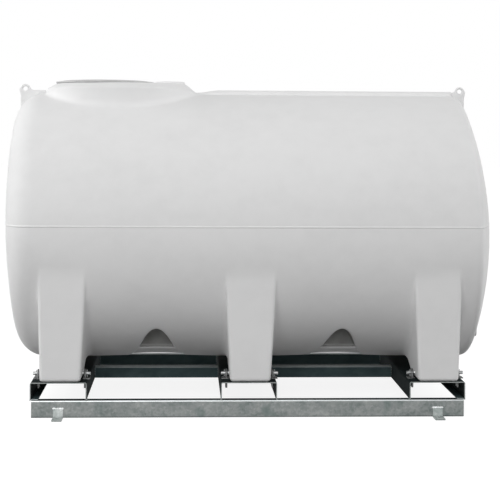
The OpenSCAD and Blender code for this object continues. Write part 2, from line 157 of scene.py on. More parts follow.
def bm_object(name, bm, smooth_angle):
    """Object from a bmesh. Edges sharper than the angle, in degrees, stay sharp."""
    mesh = bpy.data.meshes.new(name)
    bmesh.ops.recalc_face_normals(bm, faces=bm.faces)
    bm.to_mesh(mesh)
    bm.free()
    obj = link(bpy.data.objects.new(name, mesh))
    smooth_faces(mesh)
    mesh.set_sharp_from_angle(angle=math.radians(smooth_angle))
    return obj


def turns(count):
    """Angles of a full turn in equal steps."""
    return [2 * math.pi * k / count for k in range(count)]


def ring_of(bm, centre, side, other, radius, count):
    return [bm.verts.new(centre + (side * math.cos(a) + other * math.sin(a)) * radius) for a in turns(count)]


def lathe(bm, profile, origin, axis, segments):
    """Turns (radius, height) points about an axis through origin. Closes the ends that reach the axis."""
    axis = Vector(axis).normalized()
    side = axis.orthogonal().normalized()
    other = axis.cross(side)
    rings = []
    for r, h in profile:
        centre = Vector(origin) + axis * h
        if r == 0:
            rings.append([bm.verts.new(centre)])
        else:
            rings.append(ring_of(bm, centre, side, other, r, segments))
    for lower, upper in zip(rings, rings[1:]):
        for k in range(segments):
            n = (k + 1) % segments
            if len(lower) == 1 and len(upper) > 1:
                bm.faces.new((lower[0], upper[n], upper[k]))
            elif len(upper) == 1 and len(lower) > 1:
                bm.faces.new((lower[k], lower[n], upper[0]))
            elif len(lower) > 1:
                bm.faces.new((lower[k], lower[n], upper[n], upper[k]))


def sweep(bm, path, section, normals, closed=False):
    """Sweeps a section of (out, up) points along a path. Each point's normal gives the out direction."""
    n = len(path)
    rings = []
    for i, (p, out) in enumerate(zip(path, normals)):
        before = path[(i - 1) % n] if closed or i > 0 else p
        after = path[(i + 1) % n] if closed or i < n - 1 else p
        along = (after - before).normalized()
        out = (out - along * out.dot(along)).normalized()
        up = out.cross(along)
        rings.append([bm.verts.new(p + out * a + up * b) for a, b in section])
    m = len(section)
    for i in range(n if closed else n - 1):
        a, b = rings[i], rings[(i + 1) % n]
        for k in range(m):
            j = (k + 1) % m
            bm.faces.new((a[k], a[j], b[j], b[k]))
    if not closed:
        bm.faces.new(rings[0])
        bm.faces.new(rings[-1])


# ---- Materials ----


class Nodes:
    """Short calls for building the node tree of a material or of the world."""

    def __init__(self, owner, output="ShaderNodeOutputMaterial"):
        self.owner = owner
        owner.use_nodes = True
        self.tree = owner.node_tree
        self.tree.nodes.clear()
        self.output = self.add(output)

    def add(self, kind, **values):
        node = self.tree.nodes.new(kind)
        for key, value in values.items():
            setattr(node, key, value)
        return node

    def link(self, a, b):
        self.tree.links.new(a, b)

    def put(self, socket, value):
        if isinstance(value, bpy.types.NodeSocket):
            self.link(value, socket)
        else:
            socket.default_value = value

    def position(self):
        return self.add("ShaderNodeNewGeometry").outputs["Position"]

    def face_normal(self):
        return self.add("ShaderNodeNewGeometry").outputs["True Normal"]

    def xyz(self, vector):
        split = self.add("ShaderNodeSeparateXYZ")
        self.link(vector, split.inputs[0])
        return split.outputs

    def scaled(self, vector, scale):
        m = self.add("ShaderNodeMapping")
        self.link(vector, m.inputs["Vector"])
        m.inputs["Scale"].default_value = scale
        return m.outputs["Vector"]

    def noise(self, vector, scale, detail=4.0, rough=0.55, distortion=0.0):
        n = self.add("ShaderNodeTexNoise")
        self.link(vector, n.inputs["Vector"])
        n.inputs["Scale"].default_value = scale
        n.inputs["Detail"].default_value = detail
        n.inputs["Roughness"].default_value = rough
        n.inputs["Distortion"].default_value = distortion
        return n.outputs["Fac"]

    def crystals(self, vector, scale):
        """Random red, green and blue values, one set for each cell."""
        n = self.add("ShaderNodeTexVoronoi")
        self.link(vector, n.inputs["Vector"])
        n.inputs["Scale"].default_value = scale
        split = self.add("ShaderNodeSeparateColor")
        self.link(n.outputs["Color"], split.inputs[0])
        return split.outputs

    def math(self, operation, a, b=0.0, c=None):
        m = self.add("ShaderNodeMath", operation=operation)
        self.put(m.inputs[0], a)
        self.put(m.inputs[1], b)
        if c is not None:
            self.put(m.inputs[2], c)
        return m.outputs[0]

    def remap(self, value, a, b, c, d):
        m = self.add("ShaderNodeMapRange")
        self.put(m.inputs["Value"], value)
        for key, v in (("From Min", a), ("From Max", b), ("To Min", c), ("To Max", d)):
            m.inputs[key].default_value = v
        return m.outputs["Result"]

    def times(self, a, b):
        return self.math("MULTIPLY", a, b)

    def mix(self, factor, a, b):
        m = self.add("ShaderNodeMix", data_type="RGBA")
        self.put(m.inputs["Factor"], factor)
        self.put(m.inputs["A"], a)
        self.put(m.inputs["B"], b)
        return m.outputs["Result"]

    def ramp(self, factor, stops):
        r = self.add("ShaderNodeValToRGB")
        self.link(factor, r.inputs["Fac"])
        elements = r.color_ramp.elements
        while len(elements) < len(stops):
            elements.new(0.5)
        for e, (at, colour) in zip(elements, stops):
            e.position = at
            e.color = colour
        return r.outputs["Color"]

    def bump(self, height, strength, distance, normal=None):
        b = self.add("ShaderNodeBump")
        self.link(height, b.inputs["Height"])
        b.inputs["Strength"].default_value = strength
        b.inputs["Distance"].default_value = distance
        if normal is not None:
            self.link(normal, b.inputs["Normal"])
        return b.outputs["Normal"]

    def shader(self, kind, **values):
        p = self.add(kind)
        for key, value in values.items():
            self.put(p.inputs[key.replace("_", " ")], value)
        return p.outputs[0]

    def principled(self, **values):
        surface = self.shader("ShaderNodeBsdfPrincipled", **values)
        self.link(surface, self.output.inputs["Surface"])


def grey(v):
    return (v, v, v, 1.0)


def tint(level, red, green, blue):
    return (level * red, level * green, level * blue, 1.0)


def pocket_painted_shade(n, at, cloud):
    """1 inside the belly's arched pockets, where shade is painted in as dark colour, and 0 elsewhere."""
    xyz = n.xyz(at)
    off = n.math("ABSOLUTE", n.math("SUBTRACT", n.math("ABSOLUTE", xyz["X"]), LEG_PITCH / 2))
    beside = n.remap(off, POCKET_HALF + 0.002, POCKET_HALF + 0.008, 1.0, 0.0)
    above = n.remap(xyz["Z"], POCKET_Z - 0.012, POCKET_Z + 0.014, 0.0, 1.0)
    up = n.math("SUBTRACT", xyz["Z"], AXIS_Z)
    radius = n.math("SQRT", n.math("ADD", n.math("POWER", xyz["Y"], 2.0), n.math("POWER", up, 2.0)))
    deep = n.remap(radius, RADIUS - 0.012, RADIUS - 0.030, 0.0, 1.0)
    patchy = n.remap(cloud, 0.3, 0.7, 0.75, 1.0)
    return n.times(n.times(beside, above), n.times(deep, patchy))


def polyethylene(name, level):
    """Natural moulded polyethylene: matt, faintly waxy, with flow mottling, orange peel and painted shade
    deep in the belly pockets.
    """
    n = Nodes(bpy.data.materials.new(name))
    at = n.position()
    drift = n.noise(n.scaled(at, (1.0, 1.6, 2.4)), 1.3, 3.0)
    cloud = n.noise(at, 9.0, 5.0, 0.6)
    speck = n.noise(at, 160.0, 2.0)
    tone = n.math("MULTIPLY_ADD", drift, 0.5, n.times(cloud, 0.5))
    colour = n.ramp(tone, [(0.30, grey(level * 0.955)), (0.52, grey(level)), (0.72, grey(level * 1.025))])
    colour = n.mix(n.remap(speck, 0.62, 0.75, 0.0, 0.05), colour, grey(level * 0.8))
    # Painted shade: the deep insides of the belly pockets are darkened to stand in for the shade there.
    colour = n.mix(pocket_painted_shade(n, at, cloud), colour, tint(level, 0.26, 0.26, 0.25))
    peel = n.noise(at, 120.0, 2.0, 0.5)
    sag = n.noise(n.scaled(at, (1.0, 1.0, 0.6)), 7.0, 2.0, 0.4)
    normal = n.bump(sag, 0.25, 0.006)
    normal = n.bump(peel, 0.10, 0.0006, normal)
    n.principled(
        Base_Color=colour,
        Roughness=n.remap(cloud, 0.3, 0.7, 0.60, 0.70),
        Specular_IOR_Level=0.35,
        IOR=1.5,
        Normal=normal,
    )
    return n.owner


def inside_frame_shade(n, at):
    """1 on steel inside the frame's outline, where shade is painted in as dark colour, 0 on the faces that
    look outwards.
    """
    xyz = n.xyz(at)
    along = n.math("ABSOLUTE", n.math("SUBTRACT", xyz["X"], FRAME_SHIFT))
    across = n.math("ABSOLUTE", xyz["Y"])
    frame_end = LEG_PITCH + BEARER_HALF
    inside_ends = n.remap(along, frame_end - 0.004, frame_end - 0.001, 1.0, 0.0)
    inside_sides = n.remap(across, FRAME_Y - 0.009, FRAME_Y - 0.003, 1.0, 0.0)
    return n.times(inside_ends, inside_sides)


def bend_lines(n):
    """1 on the rounded bends along the top of the folded sections."""
    xyz = n.xyz(n.face_normal())
    rising = n.remap(xyz["Z"], 0.10, 0.30, 0.0, 1.0)
    not_flat = n.remap(xyz["Z"], 0.96, 0.99, 1.0, 0.0)
    facing = n.remap(n.math("ABSOLUTE", xyz["Y"]), 0.15, 0.30, 0.0, 1.0)
    return n.times(n.times(rising, not_flat), facing)


def low_edge_shade(n, at):
    """Painted shade along the steel's lowest edges, near the floor."""
    return n.remap(n.xyz(at)["Z"], 0.003, 0.009, 0.8, 0.0)


def painted_top_light(n, amount):
    """The given amount on faces that look up, 0 elsewhere, for painting light on them."""
    return n.remap(n.xyz(n.face_normal())["Z"], 0.10, 0.60, 0.0, amount)


def zinc_coat(n, at, level, inside, shade_level, blotch, spangle):
    """Colour of a hot-dip coat: spangle over blotches, greenish stains, white runs, and painted shade, a dark
    teal, on the faces inside the frame.
    """
    run = n.noise(n.scaled(at, (9.0, 9.0, 1.2)), 5.0, 4.0, 0.6)
    stain = n.noise(n.scaled(at, (1.0, 1.0, 0.7)), 10.0, 3.0, 0.6)
    tone = n.math("MULTIPLY_ADD", spangle, 0.16, n.times(blotch, 0.84))
    stops = [
        (0.30, tint(level, 0.60, 0.70, 0.68)),
        (0.45, tint(level, 0.88, 0.96, 0.94)),
        (0.60, tint(level, 1.12, 1.18, 1.16)),
        (0.80, tint(level, 1.50, 1.56, 1.54)),
    ]
    colour = n.ramp(tone, stops)
    colour = n.mix(n.remap(stain, 0.54, 0.70, 0.0, 0.55), colour, tint(level, 0.36, 0.54, 0.51))
    colour = n.mix(n.remap(run, 0.62, 0.80, 0.0, 0.45), colour, tint(level, 1.9, 1.98, 1.95))
    # Painted shade: the steel inside the frame, under the tank, gets a dark teal colour in place of the shade
    # that falls there.
    shade_colour = n.mix(blotch, tint(shade_level, 0.4, 0.7, 0.72), tint(shade_level, 1.5, 2.2, 2.3))
    return n.mix(inside, colour, shade_colour)


def galvanised(name, level, shade_level=0.030, top_light_amount=0.0):
    """Weathered hot-dip zinc: half metallic outside, dull and painted dark as shade inside the frame, with
    painted highlights on the top bends.
    """
    n = Nodes(bpy.data.materials.new(name))
    at = n.position()
    crystal = n.crystals(at, 85.0)
    blotch = n.noise(n.scaled(at, (1.0, 1.0, 1.8)), 8.0, 5.0, 0.62, 0.4)
    inside, bends = inside_frame_shade(n, at), bend_lines(n)
    # Painted highlight: the bends along the top edges, and the tops where asked, are coloured light as if
    # catching the light.
    painted_highlight = n.math("MAXIMUM", n.times(bends, 0.85), painted_top_light(n, top_light_amount))
    dull = n.math("MAXIMUM", n.remap(blotch, 0.35, 0.7, 0.34, 0.54), n.times(inside, 0.9))
    dull = n.math("MULTIPLY_ADD", n.math("SUBTRACT", 0.34, dull), bends, dull)
    shine = n.times(n.math("SUBTRACT", 1.0, inside), 0.45)
    shine = n.math("MAXIMUM", shine, n.times(bends, 0.9))
    colour = zinc_coat(n, at, level, inside, shade_level, blotch, crystal[0])
    colour = n.mix(painted_highlight, colour, (0.72, 0.76, 0.76, 1))
    # Painted shade along the lowest edges.
    colour = n.mix(low_edge_shade(n, at), colour, tint(level, 0.2, 0.24, 0.24))
    normal = n.bump(crystal[1], 0.10, 0.0005)
    normal = n.bump(n.noise(at, 55.0, 3.0), 0.16, 0.0010, normal)
    n.principled(Base_Color=colour, Metallic=shine, Roughness=dull, Specular_IOR_Level=0.10, Normal=normal)
    return n.owner


def zinc(name, level):
    """Bright plated hardware with dull handling marks."""
    n = Nodes(bpy.data.materials.new(name))
    at = n.position()
    wear = n.noise(at, 60.0, 4.0, 0.6)
    fine = n.noise(n.scaled(at, (1.0, 1.0, 4.0)), 220.0, 2.0)
    stops = [
        (0.32, tint(level, 0.6, 0.63, 0.62)),
        (0.55, tint(level, 1.0, 1.02, 1.03)),
        (0.75, tint(level, 1.25, 1.25, 1.22)),
    ]
    colour = n.ramp(wear, stops)
    n.principled(
        Base_Color=colour,
        Metallic=0.85,
        Roughness=n.remap(wear, 0.3, 0.7, 0.24, 0.44),
        Normal=n.bump(fine, 0.15, 0.0004),
    )
    return n.owner


def lid_plastic(name, level):
    """Grey moulded plastic, faintly cloudy and pebbled."""
    n = Nodes(bpy.data.materials.new(name))
    at = n.position()
    cloud = n.noise(at, 14.0, 4.0, 0.6)
    peel = n.noise(at, 260.0, 2.0)
    colour = n.ramp(cloud, [(0.3, grey(level * 0.9)), (0.55, grey(level)), (0.75, grey(level * 1.06))])
    n.principled(
        Base_Color=colour,
        Roughness=n.remap(cloud, 0.3, 0.7, 0.42, 0.55),
        Normal=n.bump(peel, 0.15, 0.0005),
    )
    return n.owner


POLY = polyethylene("polyethylene", 0.85)
LID = lid_plastic("lid_plastic", 0.55)
# The last number of each steel is the level of its painted shade inside the frame, set part by part.
STEEL = galvanised("galvanised_steel", 0.27, 0.055)
BEARER = galvanised("galvanised_bearer", 0.27, 0.010)
FRONT_RAIL = galvanised("galvanised_front_rail", 0.27, 0.012)
BRACKET = galvanised("galvanised_bracket", 0.50)
# The spreader's tops get a painted highlight.
SPREADER = galvanised("galvanised_spreader", 0.27, 0.085, top_light_amount=0.95)
BEAD = zinc("bright_weld", 0.85)
ZINC = zinc("zinc_hardware", 0.50)
CLAMP = zinc("clamp_steel", 0.20)


# ---- The moulding as one smooth distance field ----


def smooth_min(a, b, k):
    """Union whose junction is blended over a width of k."""
    h = np.maximum(k - np.abs(a - b), 0.0) / k
    return np.minimum(a, b) - h * h * k * 0.25


def smooth_max(a, b, k):
    """Intersection whose edge is blended over a width of k."""
    return -smooth_min(-a, -b, k)


def round_max(a, b, r):
    """Intersection whose edge is rounded to radius r."""
    return np.minimum(-r, np.maximum(a, b)) + np.hypot(np.maximum(a + r, 0), np.maximum(b + r, 0))


def ramp01(v, a, b):
    """Smooth step from 0 at a to 1 at b."""
    t = np.clip((v - a) / (b - a), 0.0, 1.0)
    return t * t * (3 - 2 * t)


def end_field(out, y, up, start, depth, knuckle, rake):
    """Half a torispherical tank: barrel, knuckle and crown meet in tangents."""
    out = out - rake * up
    r = np.hypot(y, up)
    crown_r = ((RADIUS - knuckle) ** 2 + depth**2 - knuckle**2) / (2 * (depth - knuckle))
    crown_x = start + depth - crown_r
    in_crown = r * (start - crown_x) < (RADIUS - knuckle) * (out - crown_x)
    crown = np.hypot(out - crown_x, r) - crown_r
    rim = np.hypot(out - start, r - (RADIUS - knuckle)) - knuckle
    return np.where(out <= start, r - RADIUS, np.where(in_crown, crown, rim))


def tank_field(x, y, z):
    """Barrel and ends. Between the ends the sides are a little fuller and more upright than a circle."""
    up = z - AXIS_Z
    flat = FLATNESS * ramp01(BARREL_X - np.abs(x), 0.0, FLAT_FADE)
    up = up * (1 - flat * np.maximum(1 - (up / RADIUS) ** 2, 0))
    left = end_field(-x, y, up, *LEFT_END)
    right = end_field(x, y, up, *RIGHT_END)
    return np.where(x < 0, left, right)


def leg_field(x, y, z):
    """Distance to the nearest leg, and to the plane of its outer face."""
    station = np.clip(np.round(x / LEG_PITCH), -1, 1) * LEG_PITCH
    off, ay, h = x - station, np.abs(y), z - SOLE_Z
    draft = np.where(off * station > 0, OUTER_DRAFT, DRAFT)
    flank = (np.abs(off) - FOOT_HALF - h * draft) / np.hypot(1, draft)
    rake = (RUNOUT_Y - FOOT_FRONT) / (RUNOUT_Z - SOLE_Z)
    outer = (ay - FOOT_FRONT - rake * h) / math.hypot(1, rake)
    outer = smooth_max(outer, RUNOUT_SLOPE * (z - RUNOUT_Z), RUNOUT_BLEND)
    inner = (FOOT_BACK - LEAN * h - ay) / math.hypot(1, LEAN)
    gusset = (FOOT_BACK + GUSSET_IN - GUSSET_LEAN * h - ay) / math.hypot(1, GUSSET_LEAN)
    inner = smooth_min(inner, gusset, GUSSET_BLEND)
    body = round_max(flank, -h, LEG_EDGE)
    body = round_max(body, inner, LEG_INNER_EDGE)
    return round_max(body, outer, LEG_EDGE), outer


def neck_field(x, y, z):
    """The neck with its shoulder, lower towards the ridge, and the breather's boss on top."""
    a, b, p = NECK_L / 2, NECK_W / 2, NECK_ROUND
    qx, qy = np.abs(x - NECK_X) / a, np.abs(y) / b
    k = np.maximum((qx**p + qy**p) ** (1 / p), 1e-6)
    steepness = np.hypot(qx ** (p - 1) / a, qy ** (p - 1) / b) * k ** (1 - p)
    plan = (k - 1) / np.maximum(steepness, 0.5)
    collar = COLLAR_Z - COLLAR_DROP * ramp01(x, NECK_X + 0.20, NECK_X + NECK_L / 2)
    slope = SHOULDER_IN / (NECK_TOP - collar)
    shoulder = (plan + (z - collar) * slope) / np.hypot(1, slope)
    body = round_max(plan, shoulder, NECK_EDGE)
    body = round_max(body, z - NECK_TOP, NECK_EDGE)
    boss = round_max(np.hypot(x - BREATHER_X, y) - BREATHER_R, z - NECK_TOP - BREATHER_H, NECK_EDGE)
    return np.maximum(smooth_min(body, boss, BREATHER_BLEND), AXIS_Z + 0.3 - z)


def ridge_field(x, y, z):
    """Round-topped rib along the crest. It starts low beside the manway."""
    beside = ramp01(np.abs(x - NECK_X), NECK_L / 2, NECK_L / 2 + RIDGE_RISE)
    centre = CREST_Z + RIDGE_H * (RIDGE_START + (1 - RIDGE_START) * beside) - RIDGE_W / 2
    rib = np.hypot(y, np.maximum(z - centre, 0)) - RIDGE_W / 2
    return np.maximum(np.maximum(rib, np.abs(x) - BARREL_X - 0.01), CREST_Z - 0.08 - z)


def bay_hollow(x, z):
    """The belly's underside arches up a little between two legs."""
    off = np.abs(np.abs(x) - LEG_PITCH / 2)
    return HOLLOW * ramp01(HOLLOW_HALF - off, 0.0, HOLLOW_HALF) * ramp01(AXIS_Z - z, 0.60, 0.76)


def pocket_field(x, y, z, tank):
    """Blind arched pocket in the belly between two legs, and the flared lip below its floor."""
    off = np.abs(np.abs(x) - LEG_PITCH / 2)
    across, above = off / POCKET_HALF, (z - POCKET_Z) / POCKET_H
    arch = (above + across**2 - 1) / np.hypot(1 / POCKET_H, 2 * across / POCKET_HALF)
    pocket = np.maximum(np.maximum(arch, POCKET_Z - z), POCKET_END - np.abs(y))
    flare = (off - POCKET_HALF - LIP_FLARE * (POCKET_Z - z)) / math.hypot(1, LIP_FLARE)
    lip = smooth_max(np.maximum(flare, z - POCKET_Z - 0.004), -tank - LIP_DEPTH, LIP_EDGE)
    return smooth_min(pocket, lip, LIP_BLEND)


def leg_blend(behind):
    """Width of the blend between leg and belly: tight at the outer face, wide underneath the tank."""
    near = 0.008 + 0.024 * ramp01(behind, 0.004, 0.050)
    return near + (0.075 * ramp01(behind, 0.100, 0.280) + 0.070 * ramp01(behind, 0.280, 0.400))


def moulding(x, y, z):
    """The whole tank, without its seam bead, ears, lid and outlet."""
    tank = tank_field(x, y, z) + bay_hollow(x, z)
    leg, face = leg_field(x, y, z)
    d = smooth_min(tank, leg, leg_blend(-face))
    d = smooth_max(d, -pocket_field(x, y, z, tank), POCKET_EDGE)
    d = smooth_min(d, neck_field(x, y, z), NECK_BLEND)
    return smooth_min(d, ridge_field(x, y, z), RIDGE_BLEND)


CORNERS = [(i, j, k) for i in (0, 1) for j in (0, 1) for k in (0, 1)]


def steps(low, high, step):
    """Evenly spaced values from low to high or just past it."""
    return low + step * np.arange(math.ceil((high - low) / step) + 1)


def surface_net(field, xs, ys, zs):
    """Quads round the zero level of a field on a grid, and the layer of cells that each vertex is in."""
    f = np.concatenate(
        [
            field(part[:, None, None], ys[None, :, None], zs[None, None, :]).astype(np.float32)
            for part in np.array_split(xs, 12)
        ]
    )
    inside = f < 0
    shape = tuple(s - 1 for s in f.shape)
    count = np.zeros(shape, np.int8)
    for i, j, k in CORNERS:
        count += inside[i : i + shape[0], j : j + shape[1], k : k + shape[2]]
    cells = np.argwhere((count > 0) & (count < 8))
    index = np.full(shape, -1, np.int64)
    index[tuple(cells.T)] = np.arange(len(cells))
    values = {c: f[cells[:, 0] + c[0], cells[:, 1] + c[1], cells[:, 2] + c[2]] for c in CORNERS}
    total, hits = np.zeros((len(cells), 3)), np.zeros(len(cells))
    for a in CORNERS:
        for axis in range(3):
            if a[axis]:
                continue
            b = tuple(v + (n == axis) for n, v in enumerate(a))
            va, vb = values[a], values[b]
            cross = (va < 0) != (vb < 0)
            t = np.where(cross, va / np.where(cross, va - vb, 1), 0)
            point = np.array(a, float)[None, :].repeat(len(cells), 0)
            point[:, axis] += t
            total += point * cross[:, None]
            hits += cross
    spacing = np.array([xs[1] - xs[0], ys[1] - ys[0], zs[1] - zs[0]])
    verts = (cells + total / hits[:, None]) * spacing + np.array([xs[0], ys[0], zs[0]])
    quads = []
    for axis in range(3):
        u, v = (axis + 1) % 3, (axis + 2) % 3
        lo = [slice(None)] * 3
        hi = [slice(None)] * 3
        lo[axis], hi[axis] = slice(0, -1), slice(1, None)
        a, b = inside[tuple(lo)], inside[tuple(hi)]
        at = np.argwhere(a != b)
        keep = (at[:, u] > 0) & (at[:, v] > 0) & (at[:, u] < shape[u]) & (at[:, v] < shape[v])
        at = at[keep]
        ring = []
        for du, dv in ((1, 1), (0, 1), (0, 0), (1, 0)):
            c = at.copy()
            c[:, u] -= du
            c[:, v] -= dv
            ring.append(index[tuple(c.T)])
        ring = np.stack(ring, 1)
        outward = a[tuple(at.T)]
        ring[~outward] = ring[~outward][:, ::-1]
        quads.append(ring)
    return verts, np.concatenate(quads), cells[:, 2]


def gradient(field, p, e=5e-4):
    """Slope of a field at each point, by central differences."""
    g = np.empty_like(p)
    for axis in range(3):
        d = np.zeros(3)
        d[axis] = e
        a, b = p + d, p - d
        g[:, axis] = (field(*a.T) - field(*b.T)) / (2 * e)
    return g


def project(field, p, held, rounds=2):
    """Moves points onto the field's zero level. Held points keep their height."""
    for _ in range(rounds):
        g = gradient(field, p)
        g[held, 2] = 0
        p = p - g * (field(*p.T) / np.maximum((g * g).sum(1), 0.05))[:, None]
    return p


def relaxed(field, p, quads, held, rounds=5):
    """Evens out the net along the surface and puts it back on the field's zero level."""
    p = project(field, p, held)
    a = quads.ravel()
    b = np.roll(quads, -1, 1).ravel()
    i, j = np.concatenate([a, b]), np.concatenate([b, a])
    n = np.maximum(np.bincount(i, minlength=len(p)), 1)
    for _ in range(rounds):
        mean = np.stack([np.bincount(i, p[j, k], minlength=len(p)) for k in range(3)], 1) / n[:, None]
        step = 0.5 * (mean - p)
        step[held, 2] = 0
        p = project(field, p + step, held, 1)
    return project(field, p, held)


def net_piece(name, field, verts, quads):
    """Object with the field's own direction as the normal of every point."""
    used, inverse = np.unique(quads.ravel(), return_inverse=True)
    points = verts[used]
    normals = gradient(field, points)
    normals /= np.linalg.norm(normals, axis=1)[:, None]
    obj = mesh_from(name, points, inverse.reshape(-1, 4))
    if len(obj.data.vertices) == len(points):
        obj.data.normals_split_custom_set_from_vertices([tuple(v) for v in normals])
    return obj


def moulding_layer(name, low, high, half_width, step):
    """The moulding between two heights, which are the middles of its first and last layers of cells."""
    layers = round((high - low) / step)
    rise = (high - low) / layers
    zs = low + rise * (np.arange(layers + 2) - 0.5)
    xs = steps(-1.50, 1.50, step)
    ys = steps(-half_width, half_width, step)
    verts, quads, layer = surface_net(moulding, xs, ys, zs)
    first, last = layer == 0, layer == layers
    verts[first, 2], verts[last, 2] = low, high
    quads = quads[~first[quads].all(1) & ~last[quads].all(1)]
    verts = relaxed(moulding, verts, quads, first | last)
    return net_piece(name, moulding, verts, quads)


def build_moulding():
    """Four pieces that share their edges, parted at the seam and at two other heights."""
    belly_top, crown_low = 0.620, 1.745
    legs = [f"leg_{row}_{n}" for row in ROWS for n in STATIONS]
    belly = moulding_layer("tank_belly_and_legs", 0.180, belly_top, 0.86, 0.0095)
    finish_piece(belly, POLY, legs)
    flank = moulding_layer("tank_lower_flanks", belly_top, SEAM_Z, 0.86, 0.0115)
    finish_piece(flank, POLY, ["lower_barrel"])
    upper = moulding_layer("tank_upper_half", SEAM_Z, crown_low, 0.86, 0.0130)
    finish_piece(upper, POLY, ["upper_barrel", "left_end", "right_end"])
    crown = moulding_layer("tank_crown_and_neck", crown_low, 1.960, 0.46, 0.0065)
    finish_piece(crown, POLY, ["manway_neck", "ridge_left", "ridge_right"])


def seam_path(spacing=0.012):
    """Points round the tank at the seam's height, moved there from a box, with the directions outwards."""
    x, y = BARREL_X + END_DEPTH, RADIUS
    long_side, short_side = steps(-x, x, spacing)[:-1], steps(-y, y, spacing)[:-1]
    sides = [(t, -y) for t in long_side] + [(x, t) for t in short_side]
    sides += [(-t, y) for t in long_side] + [(-x, -t) for t in short_side]
    points = np.array([(a, b, SEAM_Z) for a, b in sides])
    held = np.ones(len(points), bool)
    points = project(tank_field, points, held, 6)
    outwards = gradient(tank_field, points)
    outwards[:, 2] = 0
    return [Vector(p) for p in points], [Vector(g).normalized() for g in outwards]


def build_seam():
    """Low rounded bead, rooted a little below the surface."""
    bm = bmesh.new()
    path, outwards = seam_path()
    section = [(-SEAM_SUNK, -SEAM_HALF - 0.001)]
    section += [(SEAM_PROUD * math.cos(a), SEAM_HALF * math.sin(a)) for a in np.linspace(-1.4, 1.4, 9)]
    section += [(-SEAM_SUNK, SEAM_HALF + 0.001)]
    sweep(bm, path, section, outwards, closed=True)
    seam = bm_object("mould_seam_bead", bm, 50)
    finish_piece(seam, POLY, ("mould_seam",))


def build_lug(side, x0):
    """Round-edged ear over the knuckle, with a concave wing down to the ridge."""
    ax0 = abs(x0)

    def lug(x, y, z):
        ax = x * math.copysign(1, x0)
        head = np.hypot(ax - ax0, z - LUG_Z) - LUG_R
        wing = np.maximum(z - CREST_Z - RIDGE_H * 0.8, ax - ax0 - LUG_R)
        outline = smooth_min(head, round_max(wing, BARREL_X - 0.03 - ax, 0.004), WING_BLEND)
        under = LUG_Z - LUG_DROP - LUG_SLOPE * (ax0 + LUG_R - ax) - z
        outline = round_max(outline, under / math.hypot(1, LUG_SLOPE), LUG_EDGE)
        outline = smooth_max(outline, LUG_HOLE - np.hypot(ax - ax0, z - LUG_Z), 0.004)
        return round_max(outline, np.abs(y) - LUG_T / 2, LUG_EDGE)

    step = 0.004
    ends = sorted((1.22 * x0 / ax0, x0 * 1.03))
    ys, zs = steps(-0.022, 0.022, step), steps(1.65, 1.93, step)
    verts, quads, _ = surface_net(lug, steps(*ends, step), ys, zs)
    verts = relaxed(lug, verts, quads, np.zeros(len(verts), bool), 2)
    obj = net_piece(f"lifting_ear_{side}", lug, verts, quads)
    finish_piece(obj, POLY, (f"lifting_lug_{side}",))


def build_lid():
    """Flat dished disc with a rolled rim and a groove round the dome."""
    bm = bmesh.new()
    rim = [(LID_R - 0.004, 0.0), (LID_R - 0.001, 0.002), (LID_R, 0.005), (LID_R - 0.001, 0.009)]
    rim += [(LID_R - 0.004, 0.0105), (LID_R - 0.022, 0.0125)]
    groove = [(LID_R - 0.025, 0.0105), (LID_R - 0.030, 0.0105)]
    dome_r, dome_z = LID_R - 0.034, 0.0135
    angles = np.linspace(0, math.pi / 2, 14)[:-1]
    dome = [(dome_r * math.cos(t), dome_z + (LID_H - dome_z) * math.sin(t)) for t in angles]
    profile = [(0, 0)] + rim + groove + dome + [(0, LID_H)]
    lathe(bm, profile, (LID_X, 0, NECK_TOP), (0, 0, 1), 128)
    lid = bm_object("manway_lid_shell", bm, 45)
    finish_piece(lid, LID, ("manway_lid",))


def build_outlet():
    """Flange and boss with eased edges round a blind bore, on the right-hand end."""
    bm = bmesh.new()
    back, face, top = OUTLET_BACK, OUTLET_FACE, OUTLET_FACE + BOSS_L
    f, b, c = OUTLET_FLANGE, OUTLET_BOSS, OUTLET_BORE
    profile = [(0, back), (f, back), (f, face - 0.003), (f - 0.001, face - 0.001), (f - 0.003, face)]
    profile += [(b + 0.004, face), (b + 0.001, face + 0.001), (b, face + 0.004)]
    profile += [(b, top - 0.003), (b - 0.001, top - 0.001), (b - 0.003, top), (c + 0.003, top)]
    profile += [(c, top - 0.003), (c, top - BORE_L), (0, top - BORE_L)]
    lathe(bm, profile, (BARREL_X, 0, OUTLET_Z), (1, 0, 0), 72)
    outlet = bm_object("outlet_boss", bm, 40)
    finish_piece(outlet, POLY, ("outlet_fitting",))


# ---- Steel hardware ----


def bevelled_box(bm, a, b, bevel):
    """Box between two opposite corners, with rounded edges."""
    low, high = [min(p) for p in zip(a, b)], [max(p) for p in zip(a, b)]
    made = bmesh.ops.create_cube(bm, size=1.0)["verts"]
    size = Vector(high) - Vector(low)
    centre = (Vector(high) + Vector(low)) / 2
    for v in made:
        v.co = Vector(v.co[i] * size[i] + centre[i] for i in range(3))
    edges = list({e for v in made for e in v.link_edges})
    bmesh.ops.bevel(bm, geom=edges, offset=bevel, segments=2, affect="EDGES", profile=0.6)


def rod(bm, path, radius, sides):
    """Round bar along a path that stays square to the tank's length."""
    section = [(radius * math.cos(a), radius * math.sin(a)) for a in turns(sides)]
    sweep(bm, path, section, [Vector((1, 0, 0))] * len(path))


def hex_nut(bm, centre, across, height):
    """Nut with a chamfered top and bottom, its axis upright."""
    r, chamfer = across / math.sqrt(3), 0.0016
    profile = [(0, 0), (r * 0.88, 0), (r, chamfer), (r, height - chamfer), (r * 0.88, height), (0, height)]
    lathe(bm, profile, centre, (0, 0, 1), 6)


